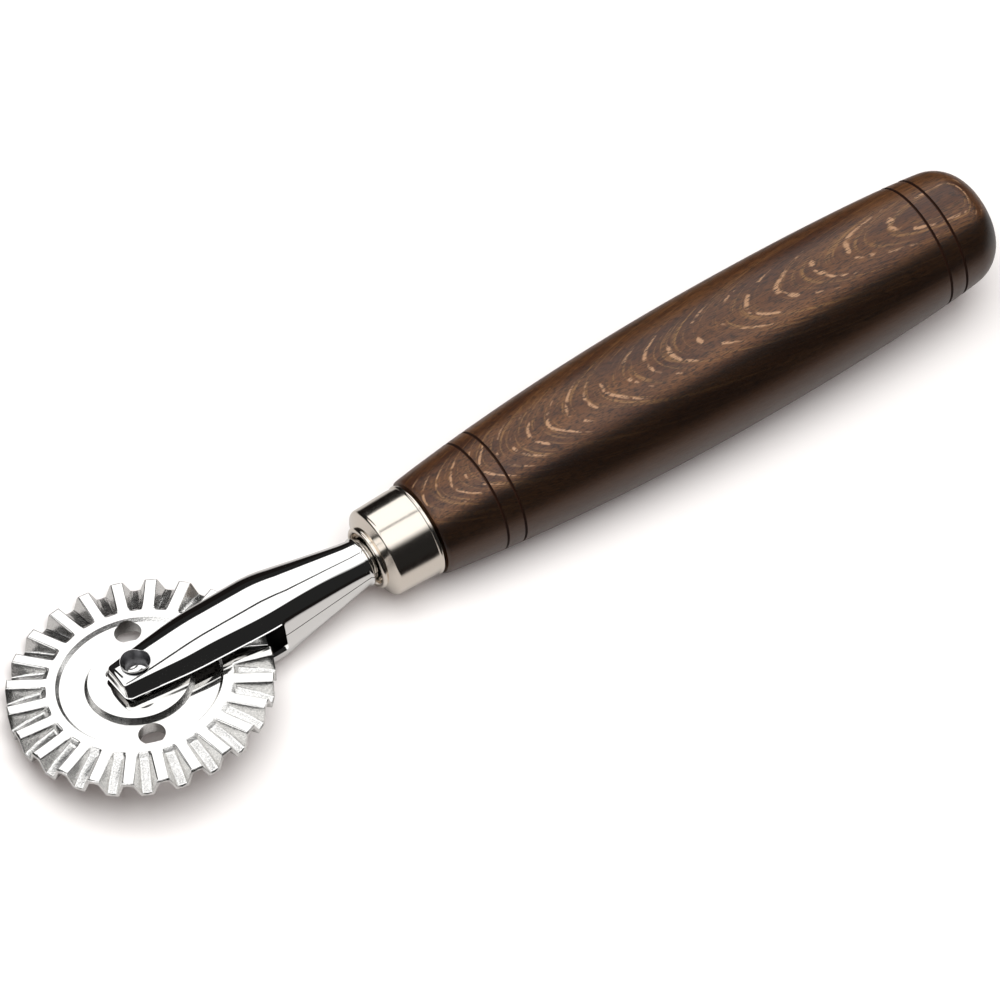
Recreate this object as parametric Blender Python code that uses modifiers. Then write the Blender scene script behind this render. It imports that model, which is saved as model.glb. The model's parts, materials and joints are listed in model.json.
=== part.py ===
"""Pastry wheel: a fluted wheel in a two-shell fork, with a ferrule and a turned wooden handle.

The tool is drawn along its own axes: the wheel's centre is at zero, the handle lies along +X and
the axle along Z. An empty then lays the whole tool down the way it rests on a table, on its fork,
its handle's belly and one side of the wheel's rim.
"""

import math

import bmesh
import bpy
import numpy as np
from mathutils import Matrix, Vector
from mathutils.geometry import interpolate_bezier

MM = 0.001

# Clearances
FIT_GAP = 0.15 * MM  # between pieces that are pressed or riveted together
WOOD_GAP = 0.3 * MM  # between the wood and the metal in and around it
RUNNING_GAP = 0.1 * MM  # between the wheel and what it turns on and between
OVERCUT = 1.0 * MM  # how far a cutter reaches past the face that it cuts

# Fluted wheel
WHEEL_RADIUS = 20.0 * MM
RIM_THICKNESS = 3.0 * MM
RIM_INNER_RADIUS = 12.5 * MM
WEB_THICKNESS = 1.9 * MM
WEB_OUTER_RADIUS = 12.0 * MM
HUB_THICKNESS = 3.8 * MM
HUB_TOP_RADIUS = 7.65 * MM
HUB_FOOT_RADIUS = 8.25 * MM
BOSS_RADIUS = 3.3 * MM  # of the raised ring round the bore, which spaces the wheel in its slot
WEB_HOLE_RADIUS = 2.05 * MM
WEB_HOLE_CIRCLE_RADIUS = 10.3 * MM
WHEEL_TURN = math.radians(8.0)  # where a rib happens to stand

# Flutes, cut alternately into the two faces of the rim
FLUTES_PER_FACE = 24
FLUTE_START_RADIUS = 14.0 * MM
FLUTE_END_RUN = 0.5 * MM
FLUTE_DEPTH_INSIDE = 0.45 * MM
FLUTE_DEPTH_AT_RIM = 2.4 * MM
FLUTE_MOUTH_INSIDE = 2.0 * MM
FLUTE_MOUTH_AT_RIM = 3.5 * MM
FLUTE_FLOOR_INSIDE = 1.3 * MM
FLUTE_FLOOR_AT_RIM = 1.2 * MM
WEB_HOLE_RIB = 4  # the rib in line with the first web hole

# Fork, made of two pressed shells that meet in the wheel's plane
SHEET = 0.6 * MM
SLOT_WIDTH = 5.6 * MM
SLOT_END = 22.3 * MM
ARM_TIP = -3.8 * MM
ARM_TIP_ROUND = 0.9 * MM
HOLLOW_ROUND_LEAST = 0.2 * MM  # of the hollow's own tip
ARM_TIP_WIDTH = 6.6 * MM
ARM_TIP_HEIGHT = 5.2 * MM  # of the outer face over the wheel's plane
ARM_WAIST = 7.0 * MM
ARM_WAIST_WIDTH = 9.5 * MM
CREST_START = 10.0 * MM
CREST_HEIGHT = 6.7 * MM
SHOULDER = 19.0 * MM
SHOULDER_WIDTH = 10.6 * MM
NECK_START = 38.8 * MM
NECK_REACH = 3.3 * MM  # how far the neck runs in behind the ferrule's front
NECK_RADIUS = 3.6 * MM
CROWN_RADIUS = 6.5 * MM  # of the outer face, across the arm
CROWN_INSET = 0.95 * MM  # how much wider an arm is at its edge than at its crown
BEND_EASE = 2.2 * MM  # how far each side of a bend the fork's outline is rounded

# Axle
SLEEVE_RADIUS = 2.5 * MM
SLEEVE_WALL = 0.45 * MM
RIVET_HEAD_RADIUS = 2.6 * MM
RIVET_HEAD_HEIGHT = 0.75 * MM
RIVET_HEAD_ROUND = 0.3 * MM
RIVET_SEAT_DEPTH = 0.3 * MM  # of the flat under a rivet head, below the arm's crown
DIMPLE_RADIUS = 2.2 * MM  # of the hollow in a rivet head, at its mouth
DIMPLE_DEPTH = 1.2 * MM

# Ferrule
LIP_SETOUT = 0.85 * MM  # of the middle of the rolled lip, ahead of the ferrule's front
LIP_RADIUS = 4.65 * MM
LIP_BEAD = 0.45 * MM
FERRULE_WALL = 0.6 * MM
FERRULE_FRONT = 40.7 * MM
FERRULE_FRONT_RADIUS = 7.1 * MM
FERRULE_SHOULDER = 1.8 * MM
FERRULE_LENGTH = 8.5 * MM
FERRULE_BACK_RADIUS = 7.3 * MM
FERRULE_BEAD = 0.8 * MM
FERRULE_BEAD_HEIGHT = 0.15 * MM

# Tang
TANG_START = 33.0 * MM
TANG_END = 84.0 * MM
TANG_TIP = 2.0 * MM

# Handle
HANDLE_FRONT_RADIUS = 7.8 * MM
BELLY_X = 104.0 * MM
BELLY_RADIUS = 11.3 * MM
BUTT_X = 151.4 * MM
BUTT_FLAT_RADIUS = 3.2 * MM
BUTT_ROUND = 6.3 * MM
BUTT_LEAN = math.radians(8.0)  # slope of the wood where the butt's rounding starts
FRONT_SWELL = 15.0 * MM  # reach and slope of the wood's first rise behind the ferrule
FRONT_SWELL_SLOPE = 0.14
BELLY_REACH = 20.0 * MM  # how long the belly stays nearly straight, each way
GROOVE_WIDTH = 0.6 * MM
GROOVE_DEPTH = 0.45 * MM
GROOVE_SPACING = 3.0 * MM
FRONT_GROOVE_SETBACK = 10.1 * MM  # from the ferrule's back edge
REAR_GROOVE_SETBACK = 8.7 * MM  # from the butt

# Facets
WHEEL_STEPS = 96
HANDLE_STEPS = 44
FERRULE_STEPS = 44
SMALL_STEPS = 28
CROWN_STEPS = 5
FORK_STATIONS = 17

# Sizes that follow from others
BOSS_THICKNESS = SLOT_WIDTH - 2 * RUNNING_GAP
WHEEL_BORE = SLEEVE_RADIUS + RUNNING_GAP
SHANK_RADIUS = SLEEVE_RADIUS - SLEEVE_WALL - FIT_GAP
ARM_HOLE_RADIUS = SHANK_RADIUS + FIT_GAP
NECK_END = FERRULE_FRONT + NECK_REACH
NECK_BORE = NECK_RADIUS + FIT_GAP
TANG_RADIUS = NECK_RADIUS - SHEET - FIT_GAP
TANG_BORE = TANG_RADIUS + WOOD_GAP
TENON_START = NECK_END + 2 * WOOD_GAP
TENON_RADIUS = FERRULE_FRONT_RADIUS - FERRULE_WALL - WOOD_GAP
FERRULE_BACK = FERRULE_FRONT + FERRULE_LENGTH
HANDLE_SHOULDER = FERRULE_BACK + WOOD_GAP


def clear_scene():
    for thing in list(bpy.data.objects):
        bpy.data.objects.remove(thing)


def new_collection(name):
    collection = bpy.data.collections.new(name)
    bpy.context.scene.collection.children.link(collection)
    return collection


def new_object(name, mesh, collection, parent):
    thing = bpy.data.objects.new(name, mesh)
    thing.parent = parent
    collection.objects.link(thing)
    return thing


def mesh_from(name, shape):
    """A mesh made from a bmesh whose faces are turned outwards."""
    bmesh.ops.recalc_face_normals(shape, faces=shape.faces)
    mesh = bpy.data.meshes.new(name)
    shape.to_mesh(mesh)
    shape.free()
    return mesh


def turned(name, profile, steps, collection, parent, closed):
    """A piece turned about local Z from (radius, height) points that run down its outer side."""
    mesh = bpy.data.meshes.new(name)
    corners = [(radius, 0, height) for radius, height in profile]
    edges = [(i, i + 1) for i in range(len(corners) - 1)]
    if closed:
        edges.append((len(corners) - 1, 0))
    mesh.from_pydata(corners, edges, [])
    thing = new_object(name, mesh, collection, parent)
    screw = thing.modifiers.new("Screw", "SCREW")
    screw.steps = screw.render_steps = steps
    screw.use_merge_vertices = True
    screw.merge_threshold = 0.01 * MM
    return thing


def along_handle(thing):
    """Turns a piece so that its local Z lies along the handle."""
    thing.rotation_euler = (0, math.pi / 2, 0)
    return thing


def arc(centre, radius, start, end, steps):
    """Points of an arc in a (radius, height) profile, its angles in degrees from outwards."""
    angles = np.radians(np.linspace(start, end, steps + 1))
    return [
        (centre[0] + radius * math.cos(angle), centre[1] + radius * math.sin(angle))
        for angle in angles
    ]


def loft(name, rings):
    """A closed mesh through rings of equally many points, capped at both ends."""
    shape = bmesh.new()
    rows = [[shape.verts.new(point) for point in ring] for ring in rings]
    for near, far in zip(rows, rows[1:]):
        for i in range(len(near)):
            shape.faces.new((near[i - 1], near[i], far[i], far[i - 1]))
    shape.faces.new(rows[0])
    shape.faces.new(rows[-1])
    return mesh_from(name, shape)


def box(name, low, high):
    shape = bmesh.new()
    bmesh.ops.create_cube(shape, size=1.0)
    low, high = Vector(low), Vector(high)
    size = high - low
    bmesh.ops.scale(shape, vec=size, verts=shape.verts)
    bmesh.ops.translate(shape, vec=(low + high) / 2, verts=shape.verts)
    return mesh_from(name, shape)


def cutter(name, mesh, collection, parent):
    thing = new_object(name, mesh, collection, parent)
    thing.hide_render = True
    thing.display_type = "WIRE"
    return thing


def cut(thing, tool):
    boolean = thing.modifiers.new(tool.name, "BOOLEAN")
    boolean.operation = "DIFFERENCE"
    boolean.object = tool


def finished(thing):
    """Makes the modifiers' result the piece's own mesh, smooth but for its sharp edges."""
    graph = bpy.context.evaluated_depsgraph_get()
    mesh = bpy.data.meshes.new_from_object(thing.evaluated_get(graph))
    thing.modifiers.clear()
    thing.data = mesh
    mesh.name = thing.name
    mesh.shade_smooth()
    mesh.set_sharp_from_angle(angle=math.radians(30))


def material(name, colour, metallic, roughness):
    finish = bpy.data.materials.new(name)
    finish.use_nodes = True
    shader = finish.node_tree.nodes["Principled BSDF"]
    shader.inputs["Base Color"].default_value = (*colour, 1)
    shader.inputs["Metallic"].default_value = metallic
    shader.inputs["Roughness"].default_value = roughness
    finish.diffuse_color = (*colour, 1)
    return finish


def flute_corner(radius, across, over):
    """A point of a flute's cutter: across is -1 or 1, over is 0 on its floor and 1 above it."""
    share = (radius - FLUTE_START_RADIUS) / (WHEEL_RADIUS - FLUTE_START_RADIUS)
    depth = FLUTE_DEPTH_INSIDE + share * (FLUTE_DEPTH_AT_RIM - FLUTE_DEPTH_INSIDE)
    mouth = FLUTE_MOUTH_INSIDE + share * (FLUTE_MOUTH_AT_RIM - FLUTE_MOUTH_INSIDE)
    floor = FLUTE_FLOOR_INSIDE + share * (FLUTE_FLOOR_AT_RIM - FLUTE_FLOOR_INSIDE)
    rise = over * (depth + OVERCUT / 2)
    width = floor + (mouth - floor) * rise / depth
    return (radius, across * width / 2, RIM_THICKNESS / 2 - depth + rise)


def flute_cutter(name, face, phase, collection, parent):
    """All the flutes of one face: face is 1 above and -1 below."""
    shape = bmesh.new()
    for flute in range(FLUTES_PER_FACE):
        corners = bmesh.ops.create_cube(shape, size=2.0)["verts"]
        for corner in corners:
            outer, across, over = corner.co.x > 0, corner.co.y, corner.co.z > 0
            start = FLUTE_START_RADIUS + (0 if over else FLUTE_END_RUN)
            corner.co = flute_corner(WHEEL_RADIUS + OVERCUT if outer else start, across, over)
        turn = Matrix.Rotation((flute + phase) * math.tau / FLUTES_PER_FACE, 4, "Z")
        flip = Matrix.Diagonal((1, 1, face, 1))
        bmesh.ops.transform(shape, matrix=flip @ turn, verts=corners)
    return cutter(name, mesh_from(name, shape), collection, parent)


def web_hole_cutter(collection, parent):
    """Two round holes through the web, in line with each other across the hub."""
    shape = bmesh.new()
    angle = WEB_HOLE_RIB * math.tau / FLUTES_PER_FACE
    for side in (1, -1):
        place = Matrix.Rotation(angle, 4, "Z")
        place = place @ Matrix.Translation((side * WEB_HOLE_CIRCLE_RADIUS, 0, 0))
        bmesh.ops.create_cone(
            shape,
            cap_ends=True,
            segments=SMALL_STEPS,
            radius1=WEB_HOLE_RADIUS,
            radius2=WEB_HOLE_RADIUS,
            depth=RIM_THICKNESS + 2 * OVERCUT,
            matrix=place,
        )
    return cutter("web_holes", mesh_from("web_holes", shape), collection, parent)


def fluted_wheel(parts, cutters, tool):
    boss, hub, web, rim = (
        thickness / 2 for thickness in (BOSS_THICKNESS, HUB_THICKNESS, WEB_THICKNESS, RIM_THICKNESS)
    )
    upper = [
        (WHEEL_BORE, boss),
        (BOSS_RADIUS, boss),
        (BOSS_RADIUS, hub),
        (HUB_TOP_RADIUS, hub),
        (HUB_FOOT_RADIUS, web),
        (WEB_OUTER_RADIUS, web),
        (RIM_INNER_RADIUS, rim),
        (WHEEL_RADIUS, rim),
    ]
    lower = [(radius, -height) for radius, height in reversed(upper)]
    wheel = turned("fluted_wheel", upper + lower, WHEEL_STEPS, parts, tool, closed=True)
    upper_flutes = flute_cutter("upper_flutes", 1, 0.5, cutters, tool)
    lower_flutes = flute_cutter("lower_flutes", -1, 0.0, cutters, tool)
    holes = web_hole_cutter(cutters, tool)
    for turning in (wheel, upper_flutes, lower_flutes, holes):
        turning.rotation_euler.z = WHEEL_TURN
    for shape in (upper_flutes, lower_flutes, holes):
        cut(wheel, shape)
    return wheel


def eased(x, places, values):
    """The value at x of straight runs between places, with the bends rounded off."""
    around = x + BEND_EASE * np.linspace(-1, 1, 9)
    return float(np.interp(around, places, values).mean())


def fork_size(x):
    """Half the width and the height of the fork at x."""
    widths = [ARM_TIP_WIDTH, ARM_WAIST_WIDTH, SHOULDER_WIDTH, SHOULDER_WIDTH, 2 * NECK_RADIUS]
    width = eased(x, [ARM_TIP, ARM_WAIST, SHOULDER, SLOT_END, NECK_START], widths)
    heights = [ARM_TIP_HEIGHT, CREST_HEIGHT, CREST_HEIGHT, NECK_RADIUS]
    return width / 2, eased(x, [ARM_TIP, CREST_START, SLOT_END, NECK_START], heights)


def fork_quarter(x, inset, shrink):
    """(y, z) points of the fork's section at x, from the crest to the seam.

    An arm has a round crown, a flared side and an upright edge, and the neck is a circle.
    """
    half_width, height = fork_size(x)
    half_width -= inset + shrink
    height -= inset + shrink
    crown = [i / CROWN_STEPS for i in range(CROWN_STEPS + 1)]
    crown_half = half_width - CROWN_INSET
    bow = 2 * (CROWN_RADIUS - inset)
    arm = [(share * crown_half, height - (share * crown_half) ** 2 / bow) for share in crown]
    arm += [(half_width, SLOT_WIDTH / 2), (half_width, 0)]
    angles = [math.radians(90 - 45 * share) for share in crown] + [math.radians(20), 0]
    neck = [(half_width * math.cos(angle), height * math.sin(angle)) for angle in angles]
    blend = float(np.interp(x, [SLOT_END, NECK_START], [0, 1]))
    return [tuple(np.add(np.multiply(a, 1 - blend), np.multiply(n, blend))) for a, n in zip(arm, neck)]


def inside_height(x, y):
    """How high the hollow of an arm reaches over a place in the wheel's plane."""
    across, heights = zip(*fork_quarter(x, SHEET, 0))
    return float(np.interp(abs(y), across, heights))


def fork_ring(x, inset, shrink):
    """One whole section of the fork."""
    quarter = fork_quarter(x, inset, shrink)
    right = quarter + [(y, -z) for y, z in reversed(quarter[:-1])]
    left = [(-y, z) for y, z in reversed(right[1:-1])]
    return [(x, y, z) for y, z in right + left]


def fork_loft(name, inset, end):
    """The fork's outer form or, with an inset, the hollow inside it."""
    tip = ARM_TIP + inset
    tip_round = max(ARM_TIP_ROUND - inset, HOLLOW_ROUND_LEAST)
    rings = []
    for angle in np.radians((0, 30, 60)):
        shrink = tip_round * (1 - math.sin(angle))
        rings.append(fork_ring(tip + tip_round * (1 - math.cos(angle)), inset, shrink))
    for x in np.linspace(tip + tip_round, end, FORK_STATIONS):
        rings.append(fork_ring(x, inset, 0))
    return loft(name, rings)


def rods(name, radius, spans, collection, parent):
    """A cutter of round rods along the axle, each between two heights."""
    shape = bmesh.new()
    for low, high in spans:
        bmesh.ops.create_cone(
            shape,
            cap_ends=True,
            segments=SMALL_STEPS,
            radius1=radius,
            radius2=radius,
            depth=high - low,
            matrix=Matrix.Translation((0, 0, (low + high) / 2)),
        )
    return cutter(name, mesh_from(name, shape), collection, parent)


def rivet_seat():
    """The height of the flat that a rivet head sits on."""
    return fork_size(0)[1] - RIVET_SEAT_DEPTH


def fork_shells(parts, cutters, tool):
    hollow = cutter("fork_hollow", fork_loft("fork_hollow", SHEET, NECK_END + OVERCUT), cutters, tool)
    reach = 2 * CREST_HEIGHT
    slot_low = (ARM_TIP - OVERCUT, -SHOULDER_WIDTH, -SLOT_WIDTH / 2)
    slot_high = (SLOT_END, SHOULDER_WIDTH, SLOT_WIDTH / 2)
    slot = cutter("fork_slot", box("fork_slot", slot_low, slot_high), cutters, tool)
    axle_hole = rods("axle_hole", ARM_HOLE_RADIUS, [(-reach, reach)], cutters, tool)
    seats = [(rivet_seat(), reach), (-reach, -rivet_seat())]
    rivet_seats = rods("rivet_seats", RIVET_HEAD_RADIUS + FIT_GAP, seats, cutters, tool)
    shells = []
    for name, side in (("upper_fork_shell", 1), ("lower_fork_shell", -1)):
        shell = new_object(name, fork_loft(name, 0, NECK_END), parts, tool)
        seam = sorted((side * FIT_GAP / 2, -side * reach))
        low = (ARM_TIP - OVERCUT, -SHOULDER_WIDTH, seam[0])
        high = (NECK_END + OVERCUT, SHOULDER_WIDTH, seam[1])
        other_half = cutter(f"{name}_seam", box(f"{name}_seam", low, high), cutters, tool)
        for shape in (hollow, other_half, slot, axle_hole, rivet_seats):
            cut(shell, shape)
        shells.append(shell)
    return shells


def axle_sleeve(parts, tool):
    """A tube that stands between the insides of the two arms."""
    outer, inner = SLEEVE_RADIUS, SLEEVE_RADIUS - SLEEVE_WALL
    around = np.radians(np.linspace(0, 360, SMALL_STEPS + 1))
    rim = [inside_height(outer * math.cos(angle), outer * math.sin(angle)) for angle in around]
    end = min(rim) - FIT_GAP
    profile = [(inner, end), (outer, end), (outer, -end), (inner, -end)]
    return turned("axle_sleeve", profile, SMALL_STEPS, parts, tool, closed=True)


def axle_rivet(parts, tool):
    """A round shank with a head at each end, hollowed where the punch has spread it."""
    under = rivet_seat() + FIT_GAP
    top = under + RIVET_HEAD_HEIGHT
    dimple = (DIMPLE_RADIUS**2 + DIMPLE_DEPTH**2) / (2 * DIMPLE_DEPTH)
    mouth = math.degrees(math.acos(DIMPLE_RADIUS / dimple))
    shoulder = (RIVET_HEAD_RADIUS - RIVET_HEAD_ROUND, top - RIVET_HEAD_ROUND)
    upper = [
        *arc((0, top - DIMPLE_DEPTH + dimple), dimple, -90, -mouth, 6),
        *arc(shoulder, RIVET_HEAD_ROUND, 90, 0, 3),
        (RIVET_HEAD_RADIUS, under),
        (SHANK_RADIUS, under),
    ]
    lower = [(radius, -height) for radius, height in reversed(upper)]
    return turned("axle_rivet", upper + lower, SMALL_STEPS, parts, tool, closed=False)


def tang(parts, tool):
    profile = [
        (0, TANG_END),
        (TANG_RADIUS / 2, TANG_END),
        (TANG_RADIUS, TANG_END - TANG_TIP),
        (TANG_RADIUS, TANG_START),
        (0, TANG_START),
    ]
    return along_handle(turned("tang", profile, SMALL_STEPS, parts, tool, closed=False))


def ferrule(parts, tool):
    """A drawn cup with a rolled lip, a round shoulder and a small bead at its back edge."""
    bead_radius = FERRULE_BACK_RADIUS + FERRULE_BEAD_HEIGHT
    front = FERRULE_FRONT + FERRULE_SHOULDER
    shoulder = (FERRULE_FRONT_RADIUS - FERRULE_SHOULDER, front)
    plate = FERRULE_FRONT + FERRULE_WALL
    profile = [
        (FERRULE_BACK_RADIUS - FERRULE_WALL, FERRULE_BACK),
        (bead_radius, FERRULE_BACK),
        (bead_radius, FERRULE_BACK - FERRULE_BEAD),
        (FERRULE_BACK_RADIUS, FERRULE_BACK - FERRULE_BEAD - FERRULE_BEAD_HEIGHT),
        *arc(shoulder, FERRULE_SHOULDER, 0, -90, 6),
        *arc((LIP_RADIUS, FERRULE_FRONT - LIP_SETOUT), LIP_BEAD, 30, -180, 7),
        (LIP_RADIUS - LIP_BEAD, FERRULE_FRONT),
        (NECK_BORE, FERRULE_FRONT),
        (NECK_BORE, plate),
        *arc(shoulder, FERRULE_SHOULDER - FERRULE_WALL, -90, 0, 3),
    ]
    return along_handle(turned("ferrule", profile, FERRULE_STEPS, parts, tool, closed=True))


def wood_curve():
    """(distance, radius) along the wood's outside, from the ferrule to the butt's rounding."""
    round_centre = Vector((BUTT_X - BUTT_ROUND, BUTT_FLAT_RADIUS))
    start = Vector((HANDLE_SHOULDER, HANDLE_FRONT_RADIUS))
    belly = Vector((BELLY_X, BELLY_RADIUS))
    reach = Vector((BELLY_REACH, 0))
    lean = Vector((math.cos(BUTT_LEAN), -math.sin(BUTT_LEAN)))
    end = round_centre + BUTT_ROUND * Vector((math.sin(BUTT_LEAN), math.cos(BUTT_LEAN)))
    swell = FRONT_SWELL * Vector((1, FRONT_SWELL_SLOPE))
    front = interpolate_bezier(start, start + swell, belly - reach, belly, 13)
    back = interpolate_bezier(belly, belly + reach, end - BUTT_ROUND * lean, end, 9)
    return [tuple(point) for point in front + back[1:]]


def groove_places():
    front = FERRULE_BACK + FRONT_GROOVE_SETBACK
    rear = BUTT_X - REAR_GROOVE_SETBACK
    return [front, front + GROOVE_SPACING, rear - GROOVE_SPACING, rear]


def wood_outline():
    """The wood's outside with its grooves, from the ferrule to the flat of the butt."""
    curve = wood_curve()
    places, radii = zip(*curve)
    outline = []
    for groove in groove_places():
        edge, floor = GROOVE_WIDTH / 2, GROOVE_WIDTH / 4
        radius = float(np.interp(groove, places, radii))
        for offset, depth in ((-edge, 0), (-floor, GROOVE_DEPTH), (floor, GROOVE_DEPTH), (edge, 0)):
            outline.append((groove + offset, radius - depth))
    for place, radius in curve:
        if all(abs(place - groove) > GROOVE_WIDTH for groove in groove_places()):
            outline.append((place, radius))
    lean = math.degrees(BUTT_LEAN)
    rounding = arc((BUTT_FLAT_RADIUS, BUTT_X - BUTT_ROUND), BUTT_ROUND, lean, 90, 8)[1:]
    return sorted(outline) + [(height, radius) for radius, height in rounding]


def handle(parts, tool):
    """Turned wood with a tenon for the ferrule and a blind bore for the tang."""
    outside = [(radius, place) for place, radius in reversed(wood_outline())]
    profile = [
        (0, BUTT_X),
        *outside,
        (TENON_RADIUS, HANDLE_SHOULDER),
        (TENON_RADIUS, TENON_START),
        (TANG_BORE, TENON_START),
        (TANG_BORE, TANG_END + WOOD_GAP),
        (0, TANG_END + WOOD_GAP),
    ]
    return along_handle(turned("handle", profile, HANDLE_STEPS, parts, tool, closed=False))


def spots(piece):
    """The corners of a piece's mesh, in the tool's axes."""
    corners = np.empty(3 * len(piece.data.vertices))
    piece.data.vertices.foreach_get("co", corners)
    placed = np.array(piece.matrix_local)
    return corners.reshape(-1, 3) @ placed[:3, :3].T + placed[:3, 3]


def upward(roll, pitch):
    """The table's normal in the axes of a tool that is rolled and pitched on it."""
    return np.array((math.sin(pitch), -math.cos(pitch) * math.sin(roll), math.cos(pitch) * math.cos(roll)))


def level(one, other, tilted):
    """The angle at which two pieces come down to the same height."""
    low, high = 0, math.radians(45)
    for _ in range(30):
        angle = (low + high) / 2
        up = tilted(angle)
        if (one @ up).min() > (other @ up).min():
            low = angle
        else:
            high = angle
    return angle


def resting_normal(fork, wheel, wood):
    """The normal of the table that the fork, the rim and the handle all touch."""
    roll = pitch = 0
    for _ in range(8):
        roll = level(wheel, fork, lambda angle: upward(angle, pitch))
        pitch = level(fork, wood, lambda angle: upward(roll, angle))
    return Vector(upward(roll, pitch))


def lay_down(tool, pieces):
    """Lays the tool on the table, with the middle of the underside of its box at zero."""
    places = {piece.name: spots(piece) for piece in pieces}
    fork = np.vstack((places["lower_fork_shell"], places["axle_rivet"]))
    up = resting_normal(fork, places["fluted_wheel"], places["handle"])
    forward = (Vector((1, 0, 0)) - up.x * up).normalized()
    tool.matrix_world = Matrix((forward, up.cross(forward), up)).to_4x4()
    corners = np.vstack(list(places.values())) @ np.array(tool.matrix_world)[:3, :3].T
    low, high = corners.min(axis=0), corners.max(axis=0)
    tool.location = (-(low[0] + high[0]) / 2, -(low[1] + high[1]) / 2, -low[2])


def main():
    clear_scene()
    parts = new_collection("pastry_wheel")
    cutters = new_collection("cutters")
    tool = bpy.data.objects.new("tool_axes", None)
    parts.objects.link(tool)

    chrome = material("chrome_plate", (0.80, 0.80, 0.79), 1.0, 0.06)
    nickel = material("nickel_plate", (0.74, 0.71, 0.65), 1.0, 0.12)
    steel = material("drawn_steel", (0.56, 0.56, 0.57), 1.0, 0.3)
    wood = material("dark_beech", (0.13, 0.07, 0.045), 0.0, 0.45)
    upper_shell, lower_shell = fork_shells(parts, cutters, tool)
    finishes = {
        fluted_wheel(parts, cutters, tool): chrome,
        upper_shell: chrome,
        lower_shell: chrome,
        axle_rivet(parts, tool): chrome,
        axle_sleeve(parts, tool): steel,
        tang(parts, tool): steel,
        ferrule(parts, tool): nickel,
        handle(parts, tool): wood,
    }
    for piece, finish in finishes.items():
        finished(piece)
        piece.data.materials.append(finish)
    lay_down(tool, list(finishes))


main()
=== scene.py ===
"""Looks of the pastry wheel: bright plated metal, and a dark turned handle, on a white table.

The pieces are drawn in millimetres along the tool's own axes: the wheel's centre is at zero, the
handle lies along +X and the axle along Z. drawn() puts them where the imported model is.
"""

import json
import math

import bmesh
import bpy
import numpy as np
from mathutils import Matrix, Vector
from mathutils.geometry import interpolate_bezier


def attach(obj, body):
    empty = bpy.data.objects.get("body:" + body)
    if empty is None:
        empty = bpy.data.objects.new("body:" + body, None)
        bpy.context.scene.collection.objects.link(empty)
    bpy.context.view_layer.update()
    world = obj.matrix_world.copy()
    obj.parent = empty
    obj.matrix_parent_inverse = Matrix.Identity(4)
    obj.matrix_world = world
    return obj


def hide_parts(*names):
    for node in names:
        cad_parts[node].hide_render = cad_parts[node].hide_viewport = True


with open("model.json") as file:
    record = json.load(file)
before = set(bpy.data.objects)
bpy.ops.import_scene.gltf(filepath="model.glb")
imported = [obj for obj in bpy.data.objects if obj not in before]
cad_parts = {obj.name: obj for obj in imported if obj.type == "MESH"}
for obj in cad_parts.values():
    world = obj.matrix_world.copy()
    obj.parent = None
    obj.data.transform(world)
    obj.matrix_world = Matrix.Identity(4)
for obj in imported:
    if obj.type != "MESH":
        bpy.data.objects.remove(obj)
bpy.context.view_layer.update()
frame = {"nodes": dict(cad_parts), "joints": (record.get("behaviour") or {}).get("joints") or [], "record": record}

MM = 0.001
SAME = 0.01  # two places nearer than this in height or radius count as level
MERGE_GAP = 0.002  # corners nearer than this become one
SHARP = 30.0  # degrees between two faces, past which the edge between them stays sharp
TURNED_SHARP = 40.0  # the same for the ferrule and the handle
RIVET_SHARP = 50.0

# Fluted wheel
WHEEL_RADIUS = 20.0
RIM_HALF = 1.5
RIM_INNER_RADIUS = 12.5
WEB_HALF = 0.95
WEB_OUTER_RADIUS = 12.0
HUB_HALF = 1.9
HUB_TOP_RADIUS = 7.65
HUB_FOOT_RADIUS = 8.25
BOSS_HALF = 2.7  # of the ring round the bore, which spaces the wheel in its slot
BOSS_RADIUS = 3.3
WHEEL_BORE = 2.6
WEB_HOLE_RADIUS = 2.05
WEB_HOLE_CIRCLE_RADIUS = 10.3
WEB_HOLE_RIB = 4  # the rib in line with the first web hole
WHEEL_TURN = 8.0  # degrees, where a rib happens to stand
FLUTES = 24  # in each face
FLUTE_START = 14.0
FLUTE_FLOOR_START = 14.7  # where the end wall of a flute has come down to its floor
FLUTE_DEPTHS = (0.6, 2.3)  # where the flute starts and at the rim, as in the next two lines
FLUTE_MOUTHS = (2.0, 3.5)
FLUTE_FLOORS = (1.3, 1.2)
FLUTE_ROUND = 0.28
RIB_END_ROUND = 0.3
RIB_ROUND = 0.18
WHEEL_EDGE_ROUND = 0.09
BELOW_FACE = 0.05  # what lies deeper than this under the rim's face belongs to a flute
BENT = 25.0  # degrees between two faces, past which the edge between them is worn round
STEEP = 44.0  # degrees from the wheel's plane, past which the buffing wheel doesn't reach

# Fork
SHEET = 0.6
SHEET_ROUND = 0.1
SEAM_HALF = 0.075
FLARE = 0.15  # how far the arm's edge is turned out beside the slot
FLARE_RISE = 0.1  # how high up the arm's wall the turned-out part starts
FLARE_STOP = 0.2  # how far short of the slot's end it stops
SLOT_HALF = 2.8
SLOT_END = 22.3
ARM_TIP = -3.8
ARM_TIP_ROUND = 0.9
ARM_TIP_WIDTH = 6.6
ARM_TIP_HEIGHT = 5.2
ARM_WAIST = 7.0
ARM_WAIST_WIDTH = 9.5
CREST_START = 10.0
CREST_HEIGHT = 6.7
SHOULDER = 19.0
SHOULDER_WIDTH = 10.6
NECK_START = 38.8
NECK_END = 44.0
NECK_RADIUS = 3.6
NECK_BEAD = (38.4, 38.6, 38.8, 39.0, 39.15, 39.25)  # along the neck, over its bead and behind it
NECK_BEAD_RISE = (0.0, 0.18, 0.24, 0.18, 0.0, -0.25)
CROWN_RADIUS = 6.5
CROWN_INSET = 0.95  # from the arm's side to the edge of its crown
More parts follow.
